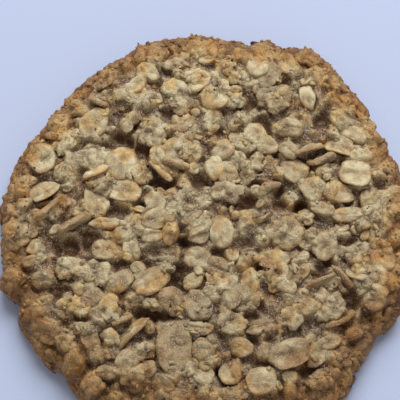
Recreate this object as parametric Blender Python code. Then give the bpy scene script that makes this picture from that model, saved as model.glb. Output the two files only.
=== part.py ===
"""A round oatmeal cookie, one baked piece lying on its flat underside, built in metres with +Z up.

The dough is a closed disc with a domed top, a rounded side and an uneven outline. Rolled oats and dough lumps
are pressed into its top and side, and one Boolean union fuses them with it. The origin is below the middle of
the cookie, on the surface that it lies on.
"""
import bmesh
import bpy
import numpy as np
from mathutils import Matrix, Vector
from mathutils.geometry import delaunay_2d_cdt

# Lengths are in millimetres and angles in degrees; a mesh is brought to metres when it is made
MM = 0.001
SEED = 11

MEAN_RADIUS = 45.0
SIDE_HEIGHT = 3.8
CROWN_RISE = 5.5
SHOULDER_POWER = 6.0
SIDE_SEGMENTS = 72
TOP_POINTS = 820
TOP_POINTS_REACH = 0.975
FOOT_RADIUS = 31.0
FOOT_TAPER = 0.97
FOOT_CORNERS = 10
FOOT_LIFT = 0.35
FOOT_SUNK = 1.2

# Rings below the widest line, where the side turns under: share of the outline, and height
RINGS_BELOW = [(0.985, 1.5), (0.95, FOOT_LIFT)]

# Slow waves of the outline: how many round the edge, how far they reach, and where one has its peak
OUTLINE_WAVES = [(2, 0.5, 67), (3, 0.85, 70), (4, 0.3, 31), (6, 0.65, -6)]

# Single knobs and notches of the edge: where, how far out or in, and how wide
EDGE_KNOBS = [
    (14, 0.8, 5), (31, -0.3, 4), (43, -0.9, 3), (59, 1.5, 5), (80, -0.6, 6), (100, 0.9, 6), (118, -0.6, 6),
    (146, -0.4, 5), (160, 0.3, 5), (183, -0.7, 5), (197, 1.1, 4), (202, -1.3, 3), (213, 0.5, 6),
    (228, -0.8, 5), (237, 1.0, 5), (252, -0.6, 5), (264, 0.7, 6), (280, -0.7, 5), (292, 0.6, 5),
    (305, 1.2, 5), (322, -1.0, 6), (335, 1.6, 4), (352, -0.9, 6),
]

# Slow swells of the top: length of the wave, its direction, its shift along it, and its height
TOP_SWELLS = [(31.0, 20, 0.3, 0.35), (24.0, 95, 0.1, 0.3), (17.0, 150, 0.6, 0.25)]

# Hollows between the oats: x, y, size along x, size along y, and how deep; each is a bell this share as wide
HOLLOW_BELL = 0.55
HOLLOWS = [
    (-20, 18, 6.1, 3.6, 2.6), (-10, 8, 5.2, 3.8, 3.0), (12, 22, 3.4, 4.6, 2.2), (-9, 25, 3.8, 3.0, 2.0),
    (9, 4, 3.2, 3.0, 2.2), (20, 3, 3.4, 2.8, 2.0), (7, -5, 5.0, 4.0, 2.8), (-4, -5, 4.6, 3.0, 2.8),
    (-7, -13, 5.2, 5.8, 3.2), (-12, -20, 6.3, 3.6, 2.8), (9, -22, 3.4, 3.2, 2.2), (3, -33, 3.4, 4.6, 2.2),
    (11, -31, 6.8, 3.0, 2.0), (-31, -23, 3.6, 3.0, 1.8), (-31, -6, 6.0, 3.0, 1.6), (-33, -16, 5.2, 3.2, 1.8),
    (-15, 4, 3.0, 3.2, 2.0), (-26, -4, 4.8, 3.0, 1.8), (30, -13, 4.0, 3.2, 2.0), (30, -18, 3.4, 4.6, 2.0),
    (25, 23, 3.2, 3.2, 2.2), (-14, 16, 3.6, 3.2, 2.0), (15, 7, 3.4, 3.2, 1.6), (-1, 8, 4.6, 3.0, 1.8),
]

# Oats and lumps that can be told apart on the top: x, y, length, width, and turn of the length from +X
OVAL_OATS = [
    (-25, 22, 7.0, 7.0, 0), (13, 17, 5.7, 4.4, 165), (19, 11, 6.5, 6.1, 145), (22, 28, 5.7, 3.9, 100),
    (28, 28, 3.7, 3.5, 0), (1, 23, 6.5, 4.8, 80), (18, 21, 7.0, 4.6, 170), (32, 20, 7.4, 3.9, 145),
    (3, -3, 7.2, 5.9, 90), (25, -6, 6.5, 5.9, 50), (25, 2, 5.9, 3.1, 172), (30, 1, 7.0, 3.5, 5),
    (35, -18, 5.2, 3.9, 170), (12, -29, 4.4, 3.9, 0), (11, -24, 6.1, 3.3, 15), (7, -28, 5.2, 4.4, 150),
    (5, -33, 6.5, 4.4, 115), (11, -35, 7.0, 5.7, 0), (17, -34, 3.9, 3.1, 0), (-7, -28, 11.3, 7.9, 80),
    (-2, -9, 6.5, 5.0, 155), (-8, -3, 5.7, 3.9, 80), (-3, -14, 4.8, 3.5, 20), (9, -14, 6.5, 4.4, 90),
    (-2, -24, 6.5, 3.1, 175), (-22, -1, 7.4, 2.8, 0), (-37, -9, 6.1, 2.8, 10), (-35, -13, 4.8, 4.8, 0),
    (-22, -7, 6.1, 5.2, 0), (-19, -14, 7.4, 4.8, 25), (-21, -33, 5.2, 3.1, 0), (-11, 4, 5.7, 5.2, 90),
    (8, -2, 4.8, 3.5, 80), (5, -8, 4.8, 3.1, 70),
]
CURLED_OATS = [
    (-36, 14, 6.5, 6.5, 0), (-19, 13, 8.3, 7.2, 80), (32, 10, 7.4, 7.0, 0), (14, -9, 7.4, 4.4, 0),
    (17, -29, 10.0, 6.1, 12), (-12, -14, 10.0, 4.8, 30), (-18, 6, 7.9, 5.7, 170), (-35, 6, 7.4, 5.2, 20),
]
STANDING_OATS = [
    (-24, 27, 4.8, 2.4, 155), (22, 16, 7.0, 1.7, 20), (25, 13, 6.1, 1.7, 25), (13, 7, 6.1, 1.3, 20),
    (24, -14, 7.4, 1.5, 25), (28, -13, 6.5, 2.6, 138), (28, -22, 7.4, 2.2, 30), (-34, 2, 7.9, 1.7, 40),
    (-29, -1, 7.9, 2.0, 30), (-18, -22, 4.4, 1.7, 25), (-16, -25, 9.2, 2.6, 50), (-7, 12, 6.1, 2.6, 165),
    (-10, 11, 6.1, 1.7, 140),
]
DOUGH_LUMPS = [
    (-16, 29, 9.6, 5.5, 170), (-7, 29, 6.5, 6.1, 0), (-6, 37, 8.7, 4.8, 5), (-26, 14, 5.2, 4.8, 0),
    (-6, 16, 8.7, 6.5, 10), (-12, 20, 6.5, 6.1, 90), (-31, 18, 6.5, 4.8, 80), (15, 28, 7.9, 6.5, 0),
    (9, 32, 4.4, 4.4, 0), (38, 11, 4.4, 3.1, 160), (4, 13, 6.5, 5.7, 90), (4, 6, 7.4, 4.8, 0),
    (16, -3, 10.0, 7.0, 0), (20, -10, 4.8, 3.9, 90), (33, -8, 7.4, 5.2, 20), (25, -19, 8.3, 6.1, 160),
    (18, -21, 5.2, 5.2, 0), (5, -23, 6.1, 5.2, 0), (24, -34, 7.0, 3.5, 25), (4, -38, 8.7, 3.5, 0),
    (-2, -2, 4.8, 4.4, 90), (3, -15, 7.4, 4.8, 10), (15, -13, 5.7, 5.2, 0), (-11, -18, 5.7, 3.5, 0),
    (-2, -19, 7.4, 6.1, 0), (-29, -11, 7.4, 4.4, 170), (-23, -12, 7.0, 5.2, 170), (-28, -19, 7.0, 4.4, 160),
    (-21, -20, 5.7, 4.4, 90), (-30, -26, 5.2, 4.4, 140), (-24, -36, 4.4, 3.9, 0), (-19, -39, 4.4, 3.5, 0),
    (-5, 3, 7.9, 6.5, 0), (-41, -3, 5.7, 5.7, 0), (-9, -10, 4.4, 3.5, 170),
]

# How each kind sits: depth below the surface, height of its edge and of its middle above it, how much narrower
# it is at the top, how far its long sides curl up, and how steeply it may lean
KINDS = {
    "oval": (1.3, 0.75, 0.55, 0.95, 0.25, 9.0),
    "curled": (1.4, 0.7, 0.2, 0.95, 1.0, 14.0),
    "standing": (2.4, 1.9, 2.0, 0.7, 0.0, 0.0),
    "lump": (1.6, 0.8, 1.35, 0.8, 0.0, 8.0),
}
STANDING_LEAN = 22.0

# Oats and lumps that are only strewn: how many tries, how far out, how far each strays from its place in the
# pattern, and how much of their size two neighbours may share
FILL_TRIES = 260
FILL_REACH = 0.93
FILL_STRAY = 1.5
FILL_ROOM = 0.36
FILL_LENGTHS = (5.2, 7.6)
FILL_WIDTHS = (0.6, 0.85)
FILL_KINDS = ["oval", "lump", "lump", "curled"]

# Rows of lumps round the side: share of the outline, height, and how steeply each looks up
SIDE_ROWS = [(0.955, 4.8, 0.9), (0.985, 2.6, 0.1)]
SIDE_COUNT = 32
SIDE_STRAY = 0.25
SIDE_LENGTHS = (5.0, 8.0)
SIDE_WIDTHS = (3.0, 4.2)

GRAIN_SIDES = 7
GRAIN_WOBBLE = 0.1
BURIED_WIDTH = 0.9
SLOPE_STEP = 0.8
WELD = 0.002
GOLDEN_TURN = 180.0 * (3.0 - np.sqrt(5.0))

DOUGH_COLOUR = (0.36, 0.22, 0.115, 1.0)
DOUGH_ROUGHNESS = 0.75


def outline_radius(angle):
    """Radius of the cookie at an angle in degrees: a mean radius, slow waves, and a bell for each edge knob."""
    radius = np.full_like(angle, MEAN_RADIUS)
    for count, reach, peak in OUTLINE_WAVES:
        radius += reach * np.cos(np.radians(count * (angle - peak)))
    for place, reach, width in EDGE_KNOBS:
        away = (angle - place + 180.0) % 360.0 - 180.0
        radius += reach * np.exp(-((away / width) ** 2))
    return radius


def top_height(x, y):
    """Height of the dough's top: a shouldered dome with slow swells, less a bell for each hollow."""
    angle = np.degrees(np.arctan2(y, x))
    share = np.clip(np.hypot(x, y) / outline_radius(angle), 0.0, 1.0)
    shoulder = np.sqrt(1.0 - share**SHOULDER_POWER)
    height = SIDE_HEIGHT + CROWN_RISE * shoulder
    for length, direction, shift, swell in TOP_SWELLS:
        along = x * np.cos(np.radians(direction)) + y * np.sin(np.radians(direction))
        height += swell * shoulder * np.sin(2.0 * np.pi * (along / length + shift))
    for hollow_x, hollow_y, size_x, size_y, depth in HOLLOWS:
        away = ((x - hollow_x) / (HOLLOW_BELL * size_x)) ** 2 + ((y - hollow_y) / (HOLLOW_BELL * size_y)) ** 2
        height -= depth * shoulder * np.exp(-(away**1.5))
    return height


def new_object(name, vertices, faces, collection):
    """Makes a mesh object of points in millimetres and puts it into a collection."""
    mesh = bpy.data.meshes.new(name)
    mesh.from_pydata([tuple(point) for point in np.asarray(vertices) * MM], [], faces)
    mesh.update()
    made = bpy.data.objects.new(name, mesh)
    collection.objects.link(made)
    return made


def dough_disc(collection):
    """The dough: a sunflower pattern of points on the top inside a ring at the side, and rings that turn under."""
    edge_angle = np.arange(SIDE_SEGMENTS) * 360.0 / SIDE_SEGMENTS
    edge_radius = outline_radius(edge_angle)
    edge = np.stack([edge_radius * np.cos(np.radians(edge_angle)), edge_radius * np.sin(np.radians(edge_angle))], 1)

    order = np.arange(TOP_POINTS) + 0.5
    turn = order * GOLDEN_TURN
    share = TOP_POINTS_REACH * np.sqrt(order / TOP_POINTS)
    reach = share * outline_radius(turn)
    inside = np.stack([reach * np.cos(np.radians(turn)), reach * np.sin(np.radians(turn))], 1)

    flat = [Vector(point) for point in np.concatenate([edge, inside])]
    ring = list(range(SIDE_SEGMENTS))
    points, _, triangles, _, _, _ = delaunay_2d_cdt(flat, [], [ring], 1, 1e-5)
    points = np.array([tuple(point) for point in points])
    height = top_height(points[:, 0], points[:, 1])
    height[:SIDE_SEGMENTS] = SIDE_HEIGHT
    vertices = [np.column_stack([points, height])]
    faces = [tuple(triangle) for triangle in triangles]

    above = ring
    count = len(points)
    for share_below, height_below in RINGS_BELOW:
        vertices.append(np.column_stack([edge * share_below, np.full(SIDE_SEGMENTS, height_below)]))
        below = list(range(count, count + SIDE_SEGMENTS))
        count += SIDE_SEGMENTS
        for this in range(SIDE_SEGMENTS):
            after = (this + 1) % SIDE_SEGMENTS
            faces.append((above[this], below[this], below[after], above[after]))
        above = below
    faces.append(tuple(reversed(above)))
    return new_object("cookie", np.concatenate(vertices), faces, collection)


def foot(collection):
    """A flat many-cornered plate under the dough, which the cookie rests on."""
    angle = np.radians(np.arange(FOOT_CORNERS) * 360.0 / FOOT_CORNERS)
    ring = FOOT_RADIUS * np.stack([np.cos(angle), np.sin(angle)], 1)
    low = np.column_stack([ring, np.zeros(FOOT_CORNERS)])
    high = np.column_stack([ring * FOOT_TAPER, np.full(FOOT_CORNERS, FOOT_LIFT + FOOT_SUNK)])
    faces = [tuple(range(FOOT_CORNERS - 1, -1, -1)), tuple(range(FOOT_CORNERS, 2 * FOOT_CORNERS))]
    for this in range(FOOT_CORNERS):
        after = (this + 1) % FOOT_CORNERS
        faces.append((this, after, FOOT_CORNERS + after, FOOT_CORNERS + this))
    return new_object("foot", np.concatenate([low, high]), faces, collection)


def surface_frame(x, y):
    """Point and upward normal of the dough's top, by small steps to each side."""
    xs = np.array([x, x + SLOPE_STEP, x - SLOPE_STEP, x, x])
    ys = np.array([y, y, y, y + SLOPE_STEP, y - SLOPE_STEP])
    height = top_height(xs, ys)
    slope_x = (height[1] - height[2]) / (2 * SLOPE_STEP)
    slope_y = (height[3] - height[4]) / (2 * SLOPE_STEP)
    return Vector((x, y, height[0])), Vector((-slope_x, -slope_y, 1.0)).normalized()


def grain(collection, kind, point, normal, length, width, turn, draw):
    """One oat or lump of about 30 triangles: two rings of points and a middle point on each face."""
    depth, edge_height, middle_height, top_share, curl, lean_limit = KINDS[kind]
    angle = 2.0 * np.pi * (np.arange(GRAIN_SIDES) + draw.uniform()) / GRAIN_SIDES
    wobble = 1.0 + draw.uniform(-GRAIN_WOBBLE, GRAIN_WOBBLE, GRAIN_SIDES)
    along = 0.5 * length * wobble * np.cos(angle)
    across = 0.5 * width * wobble * np.sin(angle)
    lift = curl * np.abs(np.sin(angle)) ** 2
    upper = np.column_stack([along * top_share, across * top_share, edge_height + lift])
    lower = np.column_stack([along * BURIED_WIDTH, across * BURIED_WIDTH, np.full(GRAIN_SIDES, -depth)])
    middles = np.array([[0.0, 0.0, middle_height], [0.0, 0.0, -depth]])
    local = np.concatenate([upper, lower, middles])

    lean = draw.uniform(-lean_limit, lean_limit, 2)
    if kind == "standing":
        lean = np.array([STANDING_LEAN * draw.choice([-1.0, 1.0]), 0.0])
    stand = Vector((0.0, 0.0, 1.0)).rotation_difference(normal).to_matrix()
    spin = Matrix.Rotation(np.radians(turn), 3, "Z")
    tip = Matrix.Rotation(np.radians(lean[0]), 3, "X") @ Matrix.Rotation(np.radians(lean[1]), 3, "Y")
    place = np.array(stand @ spin @ tip)
    vertices = local @ place.T + np.array(point)

    faces = []
    for this in range(GRAIN_SIDES):
        after = (this + 1) % GRAIN_SIDES
        faces.append((this, after, 2 * GRAIN_SIDES))
        faces.append((GRAIN_SIDES + after, GRAIN_SIDES + this, 2 * GRAIN_SIDES + 1))
        faces.append((GRAIN_SIDES + this, GRAIN_SIDES + after, after, this))
    return new_object("grain", vertices, faces, collection)


def seats():
    """Where every oat and lump sits: kind, x, y, height and upward slope on the side or nothing on the top,
    length, width and turn. The hand-placed ones come first, then seeded ones wherever the top has room, and the
    rows round the side."""
    draw = np.random.default_rng(SEED)
    rows = []
    taken = [(x, y, size) for x, y, size, _, _ in HOLLOWS]
    for kind, table in (
        ("oval", OVAL_OATS), ("curled", CURLED_OATS), ("standing", STANDING_OATS), ("lump", DOUGH_LUMPS)
    ):
        for x, y, length, width, turn in table:
            rows.append((kind, x, y, None, length, width, turn))
            taken.append((x, y, 0.5 * (length + width)))

    for number in range(FILL_TRIES):
        angle = number * GOLDEN_TURN
        reach = FILL_REACH * np.sqrt((number + 0.5) / FILL_TRIES) * outline_radius(np.array([angle]))[0]
        x = reach * np.cos(np.radians(angle)) + draw.uniform(-FILL_STRAY, FILL_STRAY)
        y = reach * np.sin(np.radians(angle)) + draw.uniform(-FILL_STRAY, FILL_STRAY)
        length = draw.uniform(*FILL_LENGTHS)
        width = length * draw.uniform(*FILL_WIDTHS)
        turn = draw.uniform(0.0, 180.0)
        kind = draw.choice(FILL_KINDS)
        gaps = [np.hypot(x - tx, y - ty) - FILL_ROOM * (size + length) for tx, ty, size in taken]
        if min(gaps) > 0.0:
            rows.append((kind, x, y, None, length, width, turn))
            taken.append((x, y, 0.5 * (length + width)))

    for row, (share, height, steepness) in enumerate(SIDE_ROWS):
        for number in range(SIDE_COUNT):
            angle = (number + 0.5 * row + draw.uniform(-SIDE_STRAY, SIDE_STRAY)) * 360.0 / SIDE_COUNT
            reach = share * outline_radius(np.array([angle]))[0]
            x = reach * np.cos(np.radians(angle))
            y = reach * np.sin(np.radians(angle))
            length = draw.uniform(*SIDE_LENGTHS)
            width = draw.uniform(*SIDE_WIDTHS)
            rows.append(("lump", x, y, (height, steepness), length, width, angle + 90.0))
    return rows


def place_grains(collection):
    """Makes a grain at every seat."""
    draw = np.random.default_rng(SEED + 1)
    for kind, x, y, side, length, width, turn in seats():
        if side is None:
            point, normal = surface_frame(x, y)
        else:
            height, steepness = side
            point = Vector((x, y, height))
            normal = (Vector((x, y, 0.0)).normalized() + Vector((0.0, 0.0, steepness))).normalized()
        grain(collection, kind, point, normal, length, width, turn, draw)


def fuse(body, collection):
    """Joins everything in the collection to the body with one Boolean union, then drops scraps and hollows."""
    union = body.modifiers.new("fuse", "BOOLEAN")
    union.operation = "UNION"
    union.operand_type = "COLLECTION"
    union.collection = collection
    union.solver = "EXACT"
    bpy.context.view_layer.update()
    evaluated = body.evaluated_get(bpy.context.evaluated_depsgraph_get())
    fused = bpy.data.meshes.new_from_object(evaluated)
    body.modifiers.clear()
    body.data = fused
    for used in list(collection.objects):
        bpy.data.objects.remove(used, do_unlink=True)
    bpy.data.collections.remove(collection)

    shape = bmesh.new()
    shape.from_mesh(fused)
    bmesh.ops.remove_doubles(shape, verts=shape.verts, dist=WELD * MM)
    bmesh.ops.triangulate(shape, faces=shape.faces)
    keep_largest_island(shape)
    shape.to_mesh(fused)
    shape.free()


def keep_largest_island(shape):
    """Deletes every separate shell but the one with most faces: loose scraps and sealed hollows."""
    left = set(shape.faces)
    islands = []
    while left:
        island = set()
        edge_of_island = [left.pop()]
        while edge_of_island:
            face = edge_of_island.pop()
            island.add(face)
            for edge in face.edges:
                for other in edge.link_faces:
                    if other in left:
                        left.discard(other)
                        edge_of_island.append(other)
        islands.append(island)
    islands.sort(key=len, reverse=True)
    for island in islands[1:]:
        bmesh.ops.delete(shape, geom=list(island), context="FACES")


def rest_on_origin(body):
    """Moves the mesh so that its box stands on the ground with its middle over the origin."""
    corners = np.array([tuple(vertex.co) for vertex in body.data.vertices])
    low = corners.min(axis=0)
    high = corners.max(axis=0)
    shift = Vector((-(low[0] + high[0]) / 2.0, -(low[1] + high[1]) / 2.0, -low[2]))
    body.data.transform(Matrix.Translation(shift))


def baked_dough():
    """Plain baked dough colour for the whole piece."""
    material = bpy.data.materials.new("baked dough")
    material.use_nodes = True
    shader = material.node_tree.nodes["Principled BSDF"]
    shader.inputs["Base Color"].default_value = DOUGH_COLOUR
    shader.inputs["Roughness"].default_value = DOUGH_ROUGHNESS
    shader.inputs["Metallic"].default_value = 0.0
    return material


def main():
    """Builds the cookie as one closed solid."""
    for old in list(bpy.data.objects):
        bpy.data.objects.remove(old, do_unlink=True)
    pieces = bpy.data.collections.new("pressed in")
    bpy.context.scene.collection.children.link(pieces)
    body = dough_disc(bpy.context.scene.collection)
    foot(pieces)
    place_grains(pieces)
    fuse(body, pieces)
    rest_on_origin(body)
    body.data.materials.append(baked_dough())


main()
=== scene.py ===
"""The looks of a round oatmeal cookie: browned dough, rolled oats, coated lumps, broken oats and crumbs.

All shapes are worked out in millimetres over the same outline and top as the solid, and brought to metres
last. A salt is a whole number that sets one random pattern apart from the next.
"""

import bpy
import numpy as np
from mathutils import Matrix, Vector


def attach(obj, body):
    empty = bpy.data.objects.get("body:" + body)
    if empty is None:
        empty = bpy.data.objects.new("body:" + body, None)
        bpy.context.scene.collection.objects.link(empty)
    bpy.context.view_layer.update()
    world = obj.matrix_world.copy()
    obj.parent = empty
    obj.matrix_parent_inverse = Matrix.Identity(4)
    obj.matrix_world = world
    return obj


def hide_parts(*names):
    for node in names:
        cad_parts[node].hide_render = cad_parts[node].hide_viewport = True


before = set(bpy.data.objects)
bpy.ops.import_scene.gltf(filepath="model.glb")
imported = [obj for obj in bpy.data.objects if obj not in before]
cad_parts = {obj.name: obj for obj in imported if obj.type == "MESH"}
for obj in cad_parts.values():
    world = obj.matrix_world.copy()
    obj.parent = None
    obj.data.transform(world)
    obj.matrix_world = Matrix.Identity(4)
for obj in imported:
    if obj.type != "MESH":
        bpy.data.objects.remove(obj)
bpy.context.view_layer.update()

MM = 0.001
SEED = 11
FULL_TURN = 2.0 * np.pi
ANY_PHASE = (0.0, 6.3)

# The solid's driving sizes
MEAN_RADIUS = 45.0
SIDE_HEIGHT = 3.8
CROWN_RISE = 5.5
SHOULDER_POWER = 6.0
FOOT_LIFT = 0.35
BOX_SHIFT = (0.759, -0.426, 0.0)

# Slow waves of the outline: how many round the edge, how far they reach, and where one has its peak
OUTLINE_WAVES = [(2, 0.5, 67), (3, 0.85, 70), (4, 0.3, 31), (6, 0.65, -6)]

# Single knobs and notches of the edge: where, how far out or in, and how wide
EDGE_KNOBS = [
    (14, 0.8, 5), (31, -0.3, 4), (43, -0.9, 3), (59, 1.5, 5), (80, -0.6, 6), (100, 0.9, 6), (118, -0.6, 6),
    (146, -0.4, 5), (160, 0.3, 5), (183, -0.7, 5), (197, 1.1, 4), (202, -1.3, 3), (213, 0.5, 6),
    (228, -0.8, 5), (237, 1.0, 5), (252, -0.6, 5), (264, 0.7, 6), (280, -0.7, 5), (292, 0.6, 5),
    (305, 1.2, 5), (322, -1.0, 6), (335, 1.6, 4), (352, -0.9, 6),
]

# Slow swells of the top: length of the wave, its direction, its shift along it, and its height
TOP_SWELLS = [(31.0, 20, 0.3, 0.35), (24.0, 95, 0.1, 0.3), (17.0, 150, 0.6, 0.25)]

# Hollows between the oats: x, y, size along x, size along y, and how deep
HOLLOWS = [
    (-20, 18, 6.1, 3.6, 2.6), (-10, 8, 5.2, 3.8, 3.0), (12, 22, 3.4, 4.6, 2.2), (-9, 25, 3.8, 3.0, 2.0),
    (9, 4, 3.2, 3.0, 2.2), (20, 3, 3.4, 2.8, 2.0), (7, -5, 5.0, 4.0, 2.8), (-4, -5, 4.6, 3.0, 2.8),
    (-7, -13, 5.2, 5.8, 3.2), (-12, -20, 6.3, 3.6, 2.8), (9, -22, 3.4, 3.2, 2.2), (3, -33, 3.4, 4.6, 2.2),
    (11, -31, 6.8, 3.0, 2.0), (-31, -23, 3.6, 3.0, 1.8), (-31, -6, 6.0, 3.0, 1.6), (-33, -16, 5.2, 3.2, 1.8),
    (-15, 4, 3.0, 3.2, 2.0), (-26, -4, 4.8, 3.0, 1.8), (30, -13, 4.0, 3.2, 2.0), (30, -18, 3.4, 4.6, 2.0),
    (25, 23, 3.2, 3.2, 2.2), (-14, 16, 3.6, 3.2, 2.0), (15, 7, 3.4, 3.2, 1.6), (-1, 8, 4.6, 3.0, 1.8),
]

# Oats and lumps that can be told apart on the top: x, y, length, width, and turn of the length from +X
OVAL_OATS = [
    (-25, 22, 7.0, 7.0, 0), (13, 17, 5.7, 4.4, 165), (19, 11, 6.5, 6.1, 145), (22, 28, 5.7, 3.9, 100),
    (28, 28, 3.7, 3.5, 0), (1, 23, 6.5, 4.8, 80), (18, 21, 7.0, 4.6, 170), (32, 20, 7.4, 3.9, 145),
    (3, -3, 7.2, 5.9, 90), (25, -6, 6.5, 5.9, 50), (25, 2, 5.9, 3.1, 172), (30, 1, 7.0, 3.5, 5),
    (35, -18, 5.2, 3.9, 170), (12, -29, 4.4, 3.9, 0), (11, -24, 6.1, 3.3, 15), (7, -28, 5.2, 4.4, 150),
    (5, -33, 6.5, 4.4, 115), (11, -35, 7.0, 5.7, 0), (17, -34, 3.9, 3.1, 0), (-7, -28, 11.3, 7.9, 80),
    (-2, -9, 6.5, 5.0, 155), (-8, -3, 5.7, 3.9, 80), (-3, -14, 4.8, 3.5, 20), (9, -14, 6.5, 4.4, 90),
    (-2, -24, 6.5, 3.1, 175), (-22, -1, 7.4, 2.8, 0), (-37, -9, 6.1, 2.8, 10), (-35, -13, 4.8, 4.8, 0),
    (-22, -7, 6.1, 5.2, 0), (-19, -14, 7.4, 4.8, 25), (-21, -33, 5.2, 3.1, 0), (-11, 4, 5.7, 5.2, 90),
    (8, -2, 4.8, 3.5, 80), (5, -8, 4.8, 3.1, 70),
]
CURLED_OATS = [
    (-36, 14, 6.5, 6.5, 0), (-19, 13, 8.3, 7.2, 80), (32, 10, 7.4, 7.0, 0), (14, -9, 7.4, 4.4, 0),
    (17, -29, 10.0, 6.1, 12), (-12, -14, 10.0, 4.8, 30), (-18, 6, 7.9, 5.7, 170), (-35, 6, 7.4, 5.2, 20),
]
STANDING_OATS = [
    (-24, 27, 4.8, 2.4, 155), (22, 16, 7.0, 1.7, 20), (25, 13, 6.1, 1.7, 25), (13, 7, 6.1, 1.3, 20),
    (24, -14, 7.4, 1.5, 25), (28, -13, 6.5, 2.6, 138), (28, -22, 7.4, 2.2, 30), (-34, 2, 7.9, 1.7, 40),
    (-29, -1, 7.9, 2.0, 30), (-18, -22, 4.4, 1.7, 25), (-16, -25, 9.2, 2.6, 50), (-7, 12, 6.1, 2.6, 165),
    (-10, 11, 6.1, 1.7, 140),
]
DOUGH_LUMPS = [
    (-16, 29, 9.6, 5.5, 170), (-7, 29, 6.5, 6.1, 0), (-6, 37, 8.7, 4.8, 5), (-26, 14, 5.2, 4.8, 0),
    (-6, 16, 8.7, 6.5, 10), (-12, 20, 6.5, 6.1, 90), (-31, 18, 6.5, 4.8, 80), (15, 28, 7.9, 6.5, 0),
    (9, 32, 4.4, 4.4, 0), (38, 11, 4.4, 3.1, 160), (4, 13, 6.5, 5.7, 90), (4, 6, 7.4, 4.8, 0),
    (16, -3, 10.0, 7.0, 0), (20, -10, 4.8, 3.9, 90), (33, -8, 7.4, 5.2, 20), (25, -19, 8.3, 6.1, 160),
    (18, -21, 5.2, 5.2, 0), (5, -23, 6.1, 5.2, 0), (24, -34, 7.0, 3.5, 25), (4, -38, 8.7, 3.5, 0),
    (-2, -2, 4.8, 4.4, 90), (3, -15, 7.4, 4.8, 10), (15, -13, 5.7, 5.2, 0), (-11, -18, 5.7, 3.5, 0),
    (-2, -19, 7.4, 6.1, 0), (-29, -11, 7.4, 4.4, 170), (-23, -12, 7.0, 5.2, 170), (-28, -19, 7.0, 4.4, 160),
    (-21, -20, 5.7, 4.4, 90), (-30, -26, 5.2, 4.4, 140), (-24, -36, 4.4, 3.9, 0), (-19, -39, 4.4, 3.5, 0),
    (-5, 3, 7.9, 6.5, 0), (-41, -3, 5.7, 5.7, 0), (-9, -10, 4.4, 3.5, 170),
]

# Oats and lumps that are only strewn: how many tries, how far out, how far each strays from its place in
# the pattern, and how much of their size two neighbours may share
FILL_TRIES = 260
FILL_REACH = 0.93
FILL_STRAY = 1.5
FILL_ROOM = 0.36
FILL_LENGTHS = (5.2, 7.6)
FILL_WIDTHS = (0.6, 0.85)
FILL_KINDS = ["oval", "lump", "lump", "curled"]

# Rows of lumps round the side: share of the outline, height, and how steeply each looks up
SIDE_ROWS = [(0.955, 4.8, 0.9), (0.985, 2.6, 0.1)]
SIDE_COUNT = 32
SIDE_STRAY = 0.25
SIDE_LENGTHS = (5.0, 8.0)
SIDE_WIDTHS = (3.0, 4.2)
GOLDEN_TURN = 180.0 * (3.0 - np.sqrt(5.0))

# Loose oats and scraps over all of these: how many tries, how far out, how long from the shortest to the
# longest, under what length an oat is a bit, and how deep a hollow may be where one lies
STREWN_REACH = 0.93
UPPER_COUNT = 75
UPPER_LENGTHS = (4.6, 7.0)
SCRAP_COUNT = 420
SCRAP_LENGTHS = (2.2, 4.1)
FINE_LENGTH = 4.2
SHALLOW = 0.25

# Seats listed one by one, filled in, loose and of scraps, in this order: how far each leans, how high it
# lies, and how much higher it may lie by chance
SEAT_LEANS = (0.13, 0.16, 0.28, 0.4)
SEAT_HEIGHTS = (0.1, 0.0, 0.0, -0.4)
SEAT_STRAYS = (0.2, 0.0, 0.9, 1.3)

# How each kind lies in the dough: how far its middle is lifted, and how far dough covers it, from the least
# to the most. A bit of oat is covered more
KIND_LIFTS = {"oval": 0.35, "curled": 0.3, "lump": 0.3, "standing": 0.6}
KIND_COVERS = {"oval": (-0.6, 0.2), "curled": (-0.6, 0.1), "lump": (-0.8, 0.2)}
STANDING_COVER = -0.8
FINE_COVER = 0.35
STANDING_TIP = 68.0
STANDING_WIDTH = 3.4

# Length from which an oat bends fully, distance over which the top's slope is taken, and how much lower the
# lumps of the side stand out
WHOLE_LENGTH = 6.5
SLOPE_STEP = 1.6
SIDE_EASE = 0.7

# Reach of the dough's grid at which the top ends, and the shares of the outline's radius there and
# at the foot
TOP_REACH = 0.84
TOP_SHARE = 0.955
FOOT_SHARE = 0.93

# The dough's face: size and height of its flakes, its knobs, its fine knobs and its grain, and how steeply a
# flake leans and drops at its edge
FLAKE_SIZE = 3.9
FLAKE_HEIGHT = 1.3
FLAKE_LEAN = 1.1
FLAKE_DROP = 1.2
KNOB_SIZE = 2.2
KNOB_HEIGHT = 1.9
FINE_KNOB_SIZE = 1.15
FINE_KNOB_HEIGHT = 0.6
GRAIN_SIZE = 0.65
GRAIN_HEIGHT = 0.2

# The dough between the oats: how high its floor lies, how far it climbs an oat at most, its cracks, its
# pits, and how high on the cookie its hollows start
FLOOR_SINK = 0.1
MOST_RISE = 2.2
CRACK_SIZE = 5.2
CRACK_DEPTH = 1.15
PIT_SIZE = 5.5
PIT_DEPTH = 1.6
HOLLOW_FLOOR = 6.0

# Rings of an oat's plate from the middle of its upper face over its edge to its lower face: how far out
# each lies, and how high, from the lower face at -1 to the upper one at 1
WHOLE_RINGS = (
    (0.14, 0.3, 0.46, 0.62, 0.76, 0.88, 0.96, 1.0, 0.95, 0.6),
    (1.0, 1.0, 1.0, 1.0, 0.95, 0.8, 0.5, 0.0, -0.6, -1.0),
)
SCRAP_RINGS = ((0.55, 0.92, 1.0, 0.6), (1.0, 0.8, -0.2, -1.0))

# What keeps the pieces within the solid's size: the highest point, the depth over which it is approached,
# the lowest point, and how far past the outline a point may reach as a share of the radius
TOP_LIMIT = 12.05
TOP_EASE = 1.0
GROUND = 0.05
REACH_EASE = 0.022

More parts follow.
